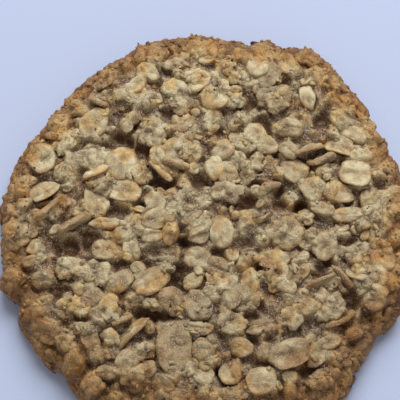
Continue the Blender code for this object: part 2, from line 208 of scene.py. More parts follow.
# Crumbs on the dough and on the lumps: how many, how large, and how high on the cookie they start
DOUGH_CRUMBS = 1500
LUMP_CRUMBS = 800
CRUMB_SIZES = (0.4, 1.2)
CRUMB_START = 5.0

# Camera of the photograph's view: how steeply it looks down in degrees, and in millimetres how far away
# it is, how much width it sees there, where it looks, and the width of its sensor
VIEW_HEIGHT = 72.0
VIEW_DISTANCE = 300.0
VIEW_WIDTH = 87.3
VIEW_AIM = (-0.9, 4.8, 7.0)
SENSOR_WIDTH = 36.0

# Lamps: place and width in metres, and power in watts. The floor's reach is in metres too
LIGHTS = {
    "overhead": ((0.08, 0.48, 0.62), 0.65, 5.4),
    "near fill": ((0.3, -0.6, 0.5), 0.6, 0.3),
}
LIGHT_COLOUR = (0.96, 0.98, 1.0)
ROOM_COLOUR = (1.0, 0.96, 0.92, 1.0)
ROOM_STRENGTH = 0.3
FLOOR_REACH = 3.0

# Large odd numbers that scramble a cell's coordinates and the salt, and the 32 low bits that are kept
CELL_STEPS = np.array([374761393, 668265263, 1440662683])
SALT_STEP = 974634777
FIRST_STIR = np.uint64(1274126177)
SECOND_STIR = np.uint64(2654435761)
LOW_BITS = 0xFFFFFFFF


def lattice(cell, salt):
    """A steady random number from 0 to 1 for each whole-number cell: its coordinates and the salt times
    large odd numbers, added up, and twice folded onto itself and multiplied."""
    mixed = (cell.astype(np.int64) * CELL_STEPS).sum(axis=-1) + salt * SALT_STEP
    mixed = (mixed & LOW_BITS).astype(np.uint64)
    mixed = ((mixed ^ (mixed >> np.uint64(13))) * FIRST_STIR) & np.uint64(LOW_BITS)
    mixed = ((mixed ^ (mixed >> np.uint64(16))) * SECOND_STIR) & np.uint64(LOW_BITS)
    return (mixed ^ (mixed >> np.uint64(15))).astype(np.float64) / (LOW_BITS + 1.0)


def lattice_trio(cell, salt):
    """Three such numbers for each cell."""
    return np.stack([lattice(cell, salt + axis) for axis in range(3)], axis=-1)


def cells_beside(scaled, salt):
    """The 27 cells round each point, one after another, each with the place in it of its random point."""
    home = np.floor(scaled)
    for step in np.ndindex(3, 3, 3):
        cell = home + np.array(step) - 1
        yield cell, lattice_trio(cell, salt)


def noise(points, size, salt):
    """Smooth noise from about -1 to 1: random slopes at the corners of cells of the given size,
    blended."""
    scaled = points / size
    cell = np.floor(scaled)
    part = scaled - cell
    blend = part * part * part * (part * (part * 6.0 - 15.0) + 10.0)
    total = np.zeros(points.shape[:-1])
    for corner in np.ndindex(2, 2, 2):
        corner = np.array(corner)
        weight = np.prod(np.where(corner == 1, blend, 1.0 - blend), axis=-1)
        away = part - corner
        for axis in range(3):
            slope = 2.0 * lattice(cell + corner, salt * 3 + axis) - 1.0
            total += weight * slope * away[..., axis]
    return 1.6 * total


def rough(points, size, salt, layers=3):
    """Noise of several sizes added up, each half the size and height of the one before."""
    total = np.zeros(points.shape[:-1])
    for layer in range(layers):
        total += noise(points, size / 2.0**layer, salt + 17 * layer) / 2.0**layer
    return total


def bend(points, reach, size, salt):
    """The points moved about in every direction by noise of the given size, times the reach."""
    return points + reach * np.stack([noise(points, size, salt + axis) for axis in range(3)], axis=-1)


def nearest_two(points, size, salt):
    """Distances to the nearest and the second nearest of the random points, in cell sizes. Each cell of
    the given size holds one of them."""
    scaled = points / size
    nearest = np.full(points.shape[:-1], 9.0)
    second = nearest.copy()
    for cell, spot in cells_beside(scaled, salt * 3):
        away = ((cell + spot - scaled) ** 2).sum(axis=-1)
        second = np.minimum(second, np.maximum(nearest, away))
        nearest = np.minimum(nearest, away)
    return np.sqrt(nearest), np.sqrt(second)


def cells(points, size, salt):
    """Distance to the nearest of the random points, in cell sizes."""
    return nearest_two(points, size, salt)[0]


def cracks(points, size, salt):
    """1 on the borders between the random points' cells and 0 away from them, broken off in places."""
    nearest, second = nearest_two(points, size, salt)
    return smooth(0.24, 0.04, second - nearest) * smooth(-0.5, 0.1, noise(points, 1.6 * size, salt + 1))


def smooth(low, high, value):
    """0 below low, 1 above high, an S between them."""
    share = np.clip((value - low) / (high - low), 0.0, 1.0)
    return share * share * (3.0 - 2.0 * share)


def flakes(points, size, salt):
    """Height of a crust of overlapping flakes, in cell sizes: each cell holds a tilted, stretched disc at
    its own level with a steep rounded edge, and at each point the highest one counts."""
    scaled = points / size
    highest = np.full(points.shape[:-1], -9.0)
    for cell, spot in cells_beside(scaled, salt * 7):
        tilt = 2.0 * lattice_trio(cell, salt * 7 + 3) - 1.0
        away = scaled - cell - spot
        slope = (away * tilt).sum(axis=-1)
        reach = np.sqrt((away**2).sum(axis=-1) + 1.4 * slope**2)
        level = 0.7 * lattice(cell, salt * 7 + 6) - 0.35
        height = level + FLAKE_LEAN * 0.5 * slope - FLAKE_DROP * smooth(0.42, 0.78, reach)
        highest = np.maximum(highest, height)
    return highest


def knobs(points, size, salt):
    """Height of a crust of round knobs that meet in creases, in cell sizes: it falls with the square of
    the distance to the nearest of the random points."""
    return 0.35 - cells(points, size, salt) ** 2


def unit(ways):
    """The same directions, each with a length of 1."""
    return ways / np.linalg.norm(ways, axis=-1, keepdims=True)


def outline_radius(angle):
    """Radius of the cookie at an angle in degrees: a mean radius, slow waves, and a bell for each knob or
    notch of the edge."""
    radius = np.full_like(angle, MEAN_RADIUS)
    for count, reach, peak in OUTLINE_WAVES:
        radius += reach * np.cos(np.radians(count * (angle - peak)))
    for place, reach, width in EDGE_KNOBS:
        away = (angle - place + 180.0) % 360.0 - 180.0
        radius += reach * np.exp(-((away / width) ** 2))
    return radius


def swell_height(x, y):
    """The slow swells of the top, added up."""
    height = np.zeros_like(x)
    for length, direction, shift, swell in TOP_SWELLS:
        along = x * np.cos(np.radians(direction)) + y * np.sin(np.radians(direction))
        height += swell * np.sin(2.0 * np.pi * (along / length + shift))
    return height


def hollow_depth(x, y):
    """How deep the solid's hollows are at a place: a bell for each hollow."""
    deep = np.zeros_like(x)
    for hollow_x, hollow_y, size_x, size_y, depth in HOLLOWS:
        away = ((x - hollow_x) / (0.55 * size_x)) ** 2 + ((y - hollow_y) / (0.55 * size_y)) ** 2
        deep += depth * np.exp(-(away**1.5))
    return deep


def outline_share(points):
    """How far out a point lies, as a share of the outline's radius there."""
    angle = np.degrees(np.arctan2(points[..., 1], points[..., 0]))
    return np.hypot(points[..., 0], points[..., 1]) / outline_radius(angle)


def dome_height(x, y, sunk=0.0):
    """Height of the shouldered dome with its slow swells, or of the same dome sunk in places."""
    share = np.clip(outline_share(np.stack([x, y], axis=-1)), 0.0, 1.0)
    return SIDE_HEIGHT + np.sqrt(1.0 - share**SHOULDER_POWER) * (CROWN_RISE + swell_height(x, y) - sunk)


def top_height(x, y):
    """Height of the dough's top: the dome, less a bell for each hollow."""
    return dome_height(x, y, hollow_depth(x, y))


def standing_out(points):
    """Share from 0 to 1 of how high a point of the top lies beside the dome, nearly full on the side, and
    lowered towards the near side. It is used to paint shade: points that lie low and the near side come out
    darker."""
    over = points[..., 2] - dome_height(points[..., 0], points[..., 1])
    on_side = 0.9 * smooth(0.86, 0.96, outline_share(points))
    return np.maximum(smooth(-1.7, 1.1, over), on_side) * near_side_shade(points)


def dough_base(reach, angle):
    """The smooth dough, from the middle of the top (reach 0) over the shoulder and down the side to the
    foot (reach 1). On the top, radius grows with reach. On the side, height falls with it, and the radius
    follows the shouldered dome above the widest line and a quarter round below it. Gives the points and,
    for each, the way out of the dough."""
    radius = outline_radius(angle)
    spin = np.radians(angle)
    on_top = np.clip(reach / TOP_REACH, 0.0, 1.0) * TOP_SHARE
    x = radius * on_top * np.cos(spin)
    y = radius * on_top * np.sin(spin)
    swell = swell_height(x, y)
    top = SIDE_HEIGHT + np.sqrt(1.0 - on_top**SHOULDER_POWER) * (CROWN_RISE + swell)

    down = np.clip((reach - TOP_REACH) / (1.0 - TOP_REACH), 0.0, 1.0)
    height = top + (FOOT_LIFT - top) * down
    above = np.clip((height - SIDE_HEIGHT) / (CROWN_RISE + swell), 0.0, 1.0)
    share_above = (1.0 - above**2) ** (1.0 / SHOULDER_POWER)
    below = np.clip((SIDE_HEIGHT - height) / (SIDE_HEIGHT - FOOT_LIFT), 0.0, 1.0)
    share_below = FOOT_SHARE + (1.0 - FOOT_SHARE) * np.sqrt(1.0 - below**2)
    share = np.where(reach <= TOP_REACH, on_top, np.where(height > SIDE_HEIGHT, share_above, share_below))
    points = np.stack([radius * share * np.cos(spin), radius * share * np.sin(spin), height], axis=-1)

    core = np.stack([points[..., 0], points[..., 1], np.full_like(height, SIDE_HEIGHT)], axis=-1)
    core[..., :2] *= np.minimum(1.0, 0.9 / np.maximum(share, 1e-6))[..., None]
    return points, unit(points - core)


def crust(points, salt):
    """The dough's own ragged face in millimetres: overlapping flakes with knobs on them."""
    bent = bend(points, 0.8, 2.6, salt)
    leaves = FLAKE_HEIGHT * flakes(bent, FLAKE_SIZE, salt + 3)
    return leaves + KNOB_HEIGHT * knobs(bent, KNOB_SIZE, salt + 4)


def fine_crust(points, salt):
    """The smallest crags of dough in millimetres: little knobs and a grain."""
    little_knobs = FINE_KNOB_HEIGHT * knobs(points, FINE_KNOB_SIZE, salt)
    return little_knobs + GRAIN_HEIGHT * noise(points, GRAIN_SIZE, salt + 1)


def floor_relief(points, ragged, face, side):
    """How far the dough between the oats stands out: a low floor with a ragged face, less a flat dip with
    a ragged edge for each hollow, and less a round pit in some of the cells of a pattern."""
    relief = FLOOR_SINK * (1.0 - 0.7 * side) + face
    for hollow_x, hollow_y, size_x, size_y, depth in HOLLOWS:
        away_x = (points[..., 0] - hollow_x) / (0.5 * size_x)
        away_y = (points[..., 1] - hollow_y) / (0.5 * size_y)
        inside = smooth(1.3, 0.7, np.sqrt(away_x**2 + away_y**2) + ragged)
        relief -= (0.65 * depth + 0.5) * inside * (points[..., 2] > HOLLOW_FLOOR)
    return relief - PIT_DEPTH * smooth(0.42, 0.2, cells(points + ragged[..., None], PIT_SIZE, 12))


def dough_relief(points, way_out, plates):
    """How far the crumb stands out of the smooth dough. Between the oats it is a low, ragged floor. Near
    each oat it rises to that oat's face, over it where a noise is high and below it where it is low, so
    the oats look out of a ragged coat. Cracks run through all of it, shallower on the side."""
    side = smooth(0.76, 0.92, outline_share(points))
    face = crust(points, 50) * (1.0 - 0.3 * side)
    ragged = 0.45 * rough(points, 2.6, 6)
    flat = points.reshape(-1, 3)
    flat_way = way_out.reshape(-1, 3)
    relief = floor_relief(points, ragged, face, side).reshape(-1)
    coat = (0.45 * noise(points, 2.4, 7) + 0.55 * face + 0.25).reshape(-1)
    skirt = (0.38 * noise(points, 2.6, 9)).reshape(-1)
    for number in range(len(plates["length"])):
        half_length = 0.5 * plates["length"][number]
        half_width = 0.5 * plates["cover_width"][number]
        seat = plates["seat"][number]
        near = np.flatnonzero(((flat - seat) ** 2).sum(axis=1) < (1.6 * half_length + 1.0) ** 2)
        away = flat[near] - seat
        along, across, out = plates["axes"][number]
        u = away @ along / half_length
        v = away @ across / half_width
        level = plate_middle(plates, number, np.clip(u, -1, 1), np.clip(v, -1, 1))
        level = level + plates["cover"][number] + coat[near]
        facing = flat_way[near] @ out
        rise = np.minimum((level - away @ out) / np.maximum(facing, 0.5), MOST_RISE)
        share = smooth(1.45, 0.55, np.hypot(u, v) + skirt[near]) * smooth(0.1, 0.5, facing)
        raised = relief[near] + (rise - relief[near]) * share
        relief[near] = np.where(rise > relief[near], raised, relief[near])
    crack = cracks(points + ragged[..., None], CRACK_SIZE, 14)
    return relief.reshape(points.shape[:-1]) - CRACK_DEPTH * (1.0 - 0.6 * side) * crack


def blur(grid, times):
    """Evens out a grid of values: each becomes the mean of itself and its four neighbours, as many times
    as said."""
    for _ in range(times):
        beside = np.roll(grid, 1, 0) + np.roll(grid, -1, 0) + np.roll(grid, 1, 1) + np.roll(grid, -1, 1)
        grid = 0.2 * (grid + beside)
    return grid


def dough_surface(reach, angle, plates):
    """Points of the crumbly dough and how far each stands out, which dies away towards the foot."""
    points, way_out = dough_base(reach, angle)
    relief = blur(dough_relief(points, way_out, plates), 2)
    relief = relief * (1.0 - 0.8 * smooth(0.92, 1.0, reach)) - 0.2 * smooth(0.85, 0.93, reach)
    relief += fine_crust(points, 30) * (1.0 - 0.5 * smooth(0.9, 1.0, reach))
    return points + way_out * relief[..., None], relief


def browning(points):
    """Share of oven browning: it grows from the edge of the top outwards and towards the foot, and some
    patches and the far end have a little more. The near end has a little more too, which is partly painted
    shade."""
    share = outline_share(points) + 0.05 * noise(points, 9.0, 60)
    edge = 0.5 * smooth(0.78, 0.95, share) + 0.35 * smooth(0.95, 1.02, share)
    low = smooth(5.0, 0.0, points[..., 2])
    patches = smooth(0.15, 0.8, noise(points, 8.0, 61))
    # The near end's term makes the near side darker: partly browning, partly painted shade
    ends = 0.1 * smooth(10.0, -40.0, points[..., 1]) + 0.25 * smooth(28.0, 44.0, points[..., 1])
    return np.clip(np.maximum(edge, low) + 0.3 * patches + ends, 0.0, 1.0)


def near_side_shade(points):
    """Share that lowers the painted light towards the near side, so that side is darker: painted shade."""
    return 1.0 - 0.22 * smooth(20.0, -30.0, points[..., 1])


def keep_in(points):
    """Eases points that stand out too far back to the solid's size: below the top's limit, over the
    ground, and within a small share of the outline."""
    points = points.copy()
    high = points[..., 2] - (TOP_LIMIT - TOP_EASE)
    eased = TOP_LIMIT - TOP_EASE * np.exp(-np.maximum(high, 0.0) / TOP_EASE)
    points[..., 2] = np.maximum(np.where(high > 0, eased, points[..., 2]), GROUND)
    share = np.maximum(outline_share(points), 1e-6)
    past = np.maximum(share - 1.0, 0.0)
    kept = np.where(share > 1.0, 1.0 + REACH_EASE * (1.0 - np.exp(-past / REACH_EASE)), share)
    points[..., :2] *= (kept / share)[..., None]
    return points


def make_piece(name, points, faces, values=None, uv=None):
    """Puts points in millimetres and faces into a mesh object that stands for the solid, with a number
    for each point under each of the given names."""
    mesh = bpy.data.meshes.new(name)
    flat = (keep_in(points.reshape(-1, 3)) + np.array(BOX_SHIFT)) * MM
    corners = faces.reshape(-1)
    sides = faces.shape[1]
    mesh.vertices.add(len(flat))
    mesh.vertices.foreach_set("co", flat.astype(np.float32).reshape(-1))
    mesh.loops.add(len(corners))
    mesh.loops.foreach_set("vertex_index", corners.astype(np.int32))
    mesh.polygons.add(len(faces))
    mesh.polygons.foreach_set("loop_start", np.arange(0, len(corners), sides, dtype=np.int32))
    for title, numbers in (values or {}).items():
        layer = mesh.attributes.new(title, "FLOAT", "POINT")
        layer.data.foreach_set("value", np.asarray(numbers, dtype=np.float32).reshape(-1))
    if uv is not None:
        layer = mesh.uv_layers.new(name="grain")
        layer.data.foreach_set("uv", uv.reshape(-1, 2)[corners].astype(np.float32).reshape(-1))
    mesh.update(calc_edges=True)
    mesh.validate()
    mesh.shade_smooth()
    piece = bpy.data.objects.new(name, mesh)
    bpy.context.scene.collection.objects.link(piece)
    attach(piece, "root")
    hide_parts("cookie")
    return piece


def square_to_disc(count):
    """A square grid bent into a disc: squares about the middle become circles, so the cells stay alike in
    size. Gives the reach from the middle and the angle in degrees."""
    step = np.linspace(-1.0, 1.0, count)
    across, along = np.meshgrid(step, step, indexing="ij")
    reach = np.maximum(np.abs(across), np.abs(along))
    safe = np.maximum(reach, 1e-9)
    wide = np.abs(across) >= np.abs(along)
    sideways = along / safe * np.sign(across + 1e-12)
    lengthways = 2.0 - across / safe * np.sign(along + 1e-12)
    turn = np.where(wide, sideways, lengthways)
    turn = np.where(wide & (across < 0), turn + 4.0, turn)
    turn = np.where(~wide & (along < 0), turn + 4.0, turn)
    return reach, turn * 45.0


def grid_faces(count):
    """Triangles of a square grid, each of its squares cut along a diagonal that changes from one to the
    next."""
    row, column = np.meshgrid(np.arange(count - 1), np.arange(count - 1), indexing="ij")
    corner = (row * count + column).reshape(-1)
    right = corner + count
    swap = ((row + column) % 2 == 0).reshape(-1)
    first = np.stack([corner, right, np.where(swap, right + 1, corner + 1)], axis=1)
    second = np.stack([np.where(swap, corner, right), right + 1, corner + 1], axis=1)
    return np.concatenate([first, second])


def grid_border(count):
    """Numbers of the grid's points round its border, in order."""
    low = np.arange(count - 1)
    return np.concatenate([
        low * count,
        (count - 1) * count + low,
        (count - 1 - low) * count + count - 1,
        count - 1 - low,
    ])


def closed_faces(count):
    """The grid's triangles, and a fan from its border to one more point, which closes the shape."""
    border = grid_border(count)
    fan = np.stack([np.roll(border, -1), border, np.full_like(border, count * count)], axis=1)
    return np.concatenate([grid_faces(count), fan])


def crumb(plates, count=304):
    """The dough from its middle to its foot, closed by a plain fan just above the ground. Its painted light
    is high where the dough stands out from its base and from itself evened out over three widths, and higher
    on the side and at the foot. So the creases, cracks and low places between the oats are darker: painted
    shade, partly also the dough's own darker colour there."""
    reach, angle = square_to_disc(count)
    points, relief = dough_surface(reach, angle, plates)
    crevice = relief - blur(relief, 150)
    crack = relief - blur(relief, 40)
    groove = relief - blur(relief, 6)
    # Painted shade: darker in the creases and cracks at three widths and in low places, partly the dough's
    # darker colour there. Lighter on the side and at the foot
    light_and_tone = 0.25 * smooth(-2.4, 1.6, relief) + 0.2 * smooth(-1.0, 1.4, crevice)
    light_and_tone += 0.3 * smooth(-0.7, 0.9, crack) + 0.25 * smooth(-0.35, 0.35, groove)
    light_and_tone = (light_and_tone + 0.35 * smooth(0.7, 0.88, reach) + 0.4 * smooth(0.93, 1.0, reach)) * near_side_shade(points)
    light_and_tone = np.append(light_and_tone.reshape(-1), 0.0)
    points = np.concatenate([points.reshape(-1, 3), [[0.0, 0.0, FOOT_LIFT + 0.4]]])
    values = {
        "light_and_tone": light_and_tone,
        "browning": browning(points),
        "tone": 0.5 + 0.5 * noise(points, 4.0, 70),
    }
    piece = make_piece("crumb", points, closed_faces(count), values)
    return piece, points[:-1], light_and_tone[:-1]


def underside(count=150):
    """The browned underside: a shallow slab whose lower face has slow waves, pores and faint pits where
    oats touched the tray. It lies within the foot and curls up at its rim."""
    reach, angle = square_to_disc(count)
    radius = outline_radius(angle) * 0.935
    spin = np.radians(angle)
    x = radius * reach * np.cos(spin)
    y = radius * reach * np.sin(spin)
    level = np.zeros_like(x)
    flat = np.stack([x, y, level], axis=-1)
    bent = flat + 1.2 * np.stack([noise(flat, 2.2, 86), noise(flat, 2.2, 87), level], axis=-1)
    pits = 0.45 * smooth(0.5, 0.15, cells(bent, 4.6, 81)) * smooth(-0.2, 0.5, noise(flat, 9.0, 88))
    pits += 0.25 * smooth(0.4, 0.15, cells(bent, 1.5, 82)) * smooth(-0.1, 0.4, noise(flat, 4.0, 89))
    height = 0.16 + 0.16 * rough(flat, 5.0, 83) + pits + 0.45 * smooth(0.85, 1.0, reach)
    points = np.stack([x, y, np.maximum(height, 0.02)], axis=-1)
    points = np.concatenate([points.reshape(-1, 3), [[0.0, 0.0, 2.5]]])
    rim = 0.25 * np.append(reach.reshape(-1) ** 3, 0.0)
    values = {
        # Painted shade: darker where the lower face lies higher, in the pits and at the curled rim
        "light_and_tone": np.append(0.2 + 0.7 * smooth(0.7, 0.05, height).reshape(-1), 0.0),
        "browning": 0.4 + 0.3 * noise(points * [1, 1, 0], 12.0, 84) + rim,
        "tone": 0.5 + 0.5 * noise(points, 5.0, 85),
    }
    return make_piece("underside", points, closed_faces(count)[:, ::-1], values)


def seats():
    """Where every oat and lump sits: kind, x, y, height and upward slope on the side or nothing on the top,
    length, width and turn. The listed ones come first, then seeded ones wherever the top has room, and the
    rows round the side."""
    draw = np.random.default_rng(SEED)
    rows = []
    taken = [(x, y, size) for x, y, size, _, _ in HOLLOWS]
    for kind, table in (
        ("oval", OVAL_OATS), ("curled", CURLED_OATS), ("standing", STANDING_OATS), ("lump", DOUGH_LUMPS)
    ):
        for x, y, length, width, turn in table:
            rows.append((kind, x, y, None, length, width, turn))
            taken.append((x, y, 0.5 * (length + width)))

    for number in range(FILL_TRIES):
        angle = number * GOLDEN_TURN
        reach = FILL_REACH * np.sqrt((number + 0.5) / FILL_TRIES) * outline_radius(np.array([angle]))[0]
        x = reach * np.cos(np.radians(angle)) + draw.uniform(-FILL_STRAY, FILL_STRAY)
        y = reach * np.sin(np.radians(angle)) + draw.uniform(-FILL_STRAY, FILL_STRAY)
        length = draw.uniform(*FILL_LENGTHS)
        width = length * draw.uniform(*FILL_WIDTHS)
        turn = draw.uniform(0.0, 180.0)
        kind = draw.choice(FILL_KINDS)
        gaps = [np.hypot(x - tx, y - ty) - FILL_ROOM * (size + length) for tx, ty, size in taken]
        if min(gaps) > 0.0:
            rows.append((kind, x, y, None, length, width, turn))
            taken.append((x, y, 0.5 * (length + width)))

    for row, (share, height, steepness) in enumerate(SIDE_ROWS):
        for number in range(SIDE_COUNT):
            angle = (number + 0.5 * row + draw.uniform(-SIDE_STRAY, SIDE_STRAY)) * 360.0 / SIDE_COUNT
            reach = share * outline_radius(np.array([angle]))[0]
            x = reach * np.cos(np.radians(angle))
            y = reach * np.sin(np.radians(angle))
            length = draw.uniform(*SIDE_LENGTHS)
            width = draw.uniform(*SIDE_WIDTHS)
            rows.append(("lump", x, y, (height, steepness), length, width, angle + 90.0))
    return rows


def settle(rows, draw, lean, raised):
    """What is drawn once for each oat and lump and shared by the dough and the pieces: its middle point,
    its axes along its length, across it and out of the dough, and how its middle surface is dished, bowed
    and twisted. Lean and raised say how far each one tips and how high it lies over the top."""
    count = len(rows)
    kind, x, y, on_side, length, width, turn = zip(*rows)
    kind = np.array(kind)
    x, y, length, width, turn = (np.array(column, dtype=float) for column in (x, y, length, width, turn))
    slope_x = (top_height(x + SLOPE_STEP, y) - top_height(x - SLOPE_STEP, y)) / (2 * SLOPE_STEP)
    slope_y = (top_height(x, y + SLOPE_STEP) - top_height(x, y - SLOPE_STEP)) / (2 * SLOPE_STEP)
    normal = np.stack([-slope_x, -slope_y, np.ones_like(x)], axis=1)
    point = np.stack([x, y, top_height(x, y) + raised], axis=1)
    for number, place in enumerate(on_side):
        if place is not None:
            height, steepness = place
            reach = np.hypot(x[number], y[number])
            normal[number] = (x[number] / reach, y[number] / reach, steepness)
            point[number, 2] = height
    normal = unit(normal)
    normal = unit(normal + draw.normal(0.0, 1.0, normal.shape) * lean[:, None])
    turn = np.radians(turn)
    along = np.stack([np.cos(turn), np.sin(turn), np.zeros_like(turn)], axis=1)
    along = unit(along - normal * (along * normal).sum(axis=1, keepdims=True))
    across = np.cross(normal, along)

    standing = kind == "standing"
    lift = np.select([kind == name for name in KIND_LIFTS], list(KIND_LIFTS.values()))
    covers = [draw.uniform(least, most, count) for least, most in KIND_COVERS.values()]
    cover = np.select([kind == name for name in KIND_COVERS], covers, STANDING_COVER)
    cover += np.where(length < FINE_LENGTH, FINE_COVER, 0.0)
    cover += smooth(0.83, 0.92, outline_share(point)) * (kind != "lump")
    flatter = np.minimum(1.0, length / WHOLE_LENGTH) ** 2
    curled_dish = draw.uniform(0.7, 1.4, count)
    plain_dish = draw.uniform(-0.4, 0.8, count)
    return {
        "kind": kind,
        "length": length,
        "width": width,
        "cover_width": np.where(standing, np.maximum(width, 2.4), width),
        "seat": point + normal * lift[:, None],
        "axes": np.stack([along, across, normal], axis=1),
        "cover": cover,
        "dish": np.where(kind == "curled", curled_dish, plain_dish) * flatter,
        "one_side": draw.uniform(-0.9, 0.9, count),
        "bow": draw.uniform(-0.4, 0.4, count) * flatter,
        "twist": draw.uniform(-0.5, 0.5, count) * flatter,
        "side_ease": np.where([place is None for place in on_side], 1.0, SIDE_EASE),
        "tip": np.where(standing, np.radians(STANDING_TIP) * draw.choice([-1.0, 1.0], count), 0.0),
    }


def plate_middle(plates, number, u, v):
    """Height of a plate's middle surface: a dish across it that is deeper on one side, a bow along it,
    and a twist."""
    dish = plates["dish"][number] * v**2 * (1.0 + plates["one_side"][number] * np.tanh(2.0 * v))
    return dish + plates["bow"][number] * u**2 + plates["twist"][number] * u * v


def ring_faces(rings, sides, count):
    """Triangles of count closed shapes, each of rings of points between two pole points."""
    ring, side = np.meshgrid(np.arange(rings - 1), np.arange(sides), indexing="ij")
    this = ring * sides + side
    that = ring * sides + (side + 1) % sides
    first_half = np.stack([this, this + sides, that + sides], axis=-1).reshape(-1, 3)
    second_half = np.stack([this, that + sides, that], axis=-1).reshape(-1, 3)
    one_side = np.arange(sides)
    next_side = (one_side + 1) % sides
    pole = rings * sides
    last = (rings - 1) * sides
    top = np.stack([one_side, next_side, np.full(sides, pole)], axis=-1)
    bottom = np.stack([last + next_side, last + one_side, np.full(sides, pole + 1)], axis=-1)
    one_shape = np.concatenate([first_half, second_half, top, bottom])
    offset = (np.arange(count) * (rings * sides + 2))[:, None, None]
    return (one_shape[None] + offset).reshape(-1, 3)


def ball_points(fall, sides):
    """Points of a ball of radius 1: a ring at each angle from the top in radians, then the two poles."""
    angle = np.arange(sides) * FULL_TURN / sides
    x = (np.sin(fall)[:, None] * np.cos(angle)).reshape(-1)
    y = (np.sin(fall)[:, None] * np.sin(angle)).reshape(-1)
    z = np.repeat(np.cos(fall), sides)
    return np.stack([np.append(x, [0, 0]), np.append(y, [0, 0]), np.append(z, [1, -1])], axis=-1)


def for_all(numbers, points):
    """One number for each shape, given to all of its points."""
    return np.repeat(numbers[:, None], points.shape[1], axis=1)


def stand_on(seat, local, along, across, out):
    """Points given along, across and out of each seat, brought to the cookie's own axes."""
    return seat[:, None] + local[..., 0:1] * along + local[..., 1:2] * across + local[..., 2:3] * out


def oats(name, plates, chosen, draw, rings=WHOLE_RINGS, sides=36, thick=0.42, ragged=0.17):
    """Rolled oats as thin closed plates. A plate's outline is an ellipse with waves round it, the shorter
    the lower. Its middle surface is dished, bowed, twisted and rippled. Its upper face is puffed up, creased
    along its length, bumpy and scabbed with dough, and its edge is rounded. The painted light is lower in
    the crease, between the bumps and at the very edge, higher or lower towards the rim, higher on oats with
    more tone, and lower on the lower face and on oats that lie low. All of this darkening is painted shade."""
    shares, faces_up = np.array(rings)
    plates = {key: value[chosen] for key, value in plates.items()}
    count = len(plates["length"])
    standing = plates["kind"] == "standing"
    plate_width = np.where(standing, STANDING_WIDTH, plates["width"])
    axes = plates["axes"]
    tip = plates["tip"][:, None]
    across = axes[:, 1] * np.cos(tip) + axes[:, 2] * np.sin(tip)
    out = axes[:, 2] * np.cos(tip) - axes[:, 1] * np.sin(tip)

    angle = np.arange(sides) * FULL_TURN / sides
    edge = np.ones((count, sides))
    for wave in range(2, 12):
        most = 0.1 / (wave - 1)
        size = np.clip(draw.normal(0.0, ragged / wave, (count, 1)), -most, most)
        edge += size * np.cos(wave * angle[None] + draw.uniform(*ANY_PHASE, (count, 1)))
    edge = np.clip(edge, 0.85, 1.12)
    blunt = np.where(standing, 0.5, 1.0)[:, None]
    round_u = np.sign(np.cos(angle))[None] * np.abs(np.cos(angle))[None] ** blunt
    round_v = np.sign(np.sin(angle))[None] * np.abs(np.sin(angle))[None] ** blunt
    u = shares[None, :, None] * (edge * round_u)[:, None, :]
    v = shares[None, :, None] * (edge * round_v)[:, None, :]
    pole = np.zeros((count, 2))
    u = np.concatenate([u.reshape(count, -1), pole], axis=1)
    v = np.concatenate([v.reshape(count, -1), pole], axis=1)
    face_up = np.concatenate([np.repeat(faces_up, sides), [1.0, -1.0]])[None]

    reach = np.hypot(u, v)
    inner = np.minimum(reach, 1.0)
    bending = {key: plates[key][:, None] for key in ("dish", "one_side", "bow", "twist")}
    middle = plate_middle(bending, slice(None), u, v)
    ripple = draw.uniform(0.0, 0.2, count)[:, None]
    start = draw.uniform(*ANY_PHASE, count)[:, None]
    middle += ripple * reach**2 * np.cos(3.0 * np.arctan2(v, u) + start)
    crease = draw.uniform(0.05, 0.3, count)[:, None] * np.exp(-((v / 0.16) ** 2)) * (1.0 - inner**4)
    local = np.stack([
        0.5 * plates["length"][:, None] * u,
        0.5 * plate_width[:, None] * v,
        np.zeros_like(u),
    ], axis=-1)
    salted = local + (np.arange(count) * 37.0)[:, None, None]
    bumps = 0.35 * noise(salted, 2.1, 90) + 0.5 * fine_crust(salted, 94)
    scabs = 0.5 * smooth(0.05, 0.4, noise(salted, 2.6, 92)) * (0.5 + knobs(salted, 1.2, 93))
    thickness = thick * (draw.uniform(0.8, 1.3, count) + 0.35 * standing)[:, None]
    puff = np.where(standing, 0.0, draw.uniform(0.0, 2.4, count) * thick)[:, None] * (1.0 - inner**2)
    upper = bumps + scabs + puff - crease
    local[..., 2] = middle + thickness * face_up + np.where(face_up > 0, upper, 0.5 * bumps)
    points = stand_on(plates["seat"], local, axes[:, None, 0], across[:, None], out[:, None])
    tone = for_all(draw.uniform(0.0, 1.0, count), points)
    rim = draw.uniform(-0.08, 0.22, (count, 1)) * smooth(0.2, 0.85, reach) - 0.3 * smooth(0.88, 1.0, reach)
    # Painted light and shade: darker in the crease, between the bumps, at the very edge, on the lower face
    # and on oats that lie low
    light_and_tone = (0.72 + 0.9 * (bumps - crease) + rim) * (0.8 + 0.34 * tone)
    values = {
        "tone": tone,
        "edge": smooth(0.75, 1.0, reach),
        "browning": browning(points),
        "light_and_tone": np.where(face_up > -0.5, light_and_tone, 0.4 * light_and_tone) * standing_out(points),
    }
    uv = np.stack([local[..., 0] + 3.0 * np.arange(count)[:, None], local[..., 1]], axis=-1)
    return make_piece(name, points, ring_faces(len(shares), sides, count), values, uv)


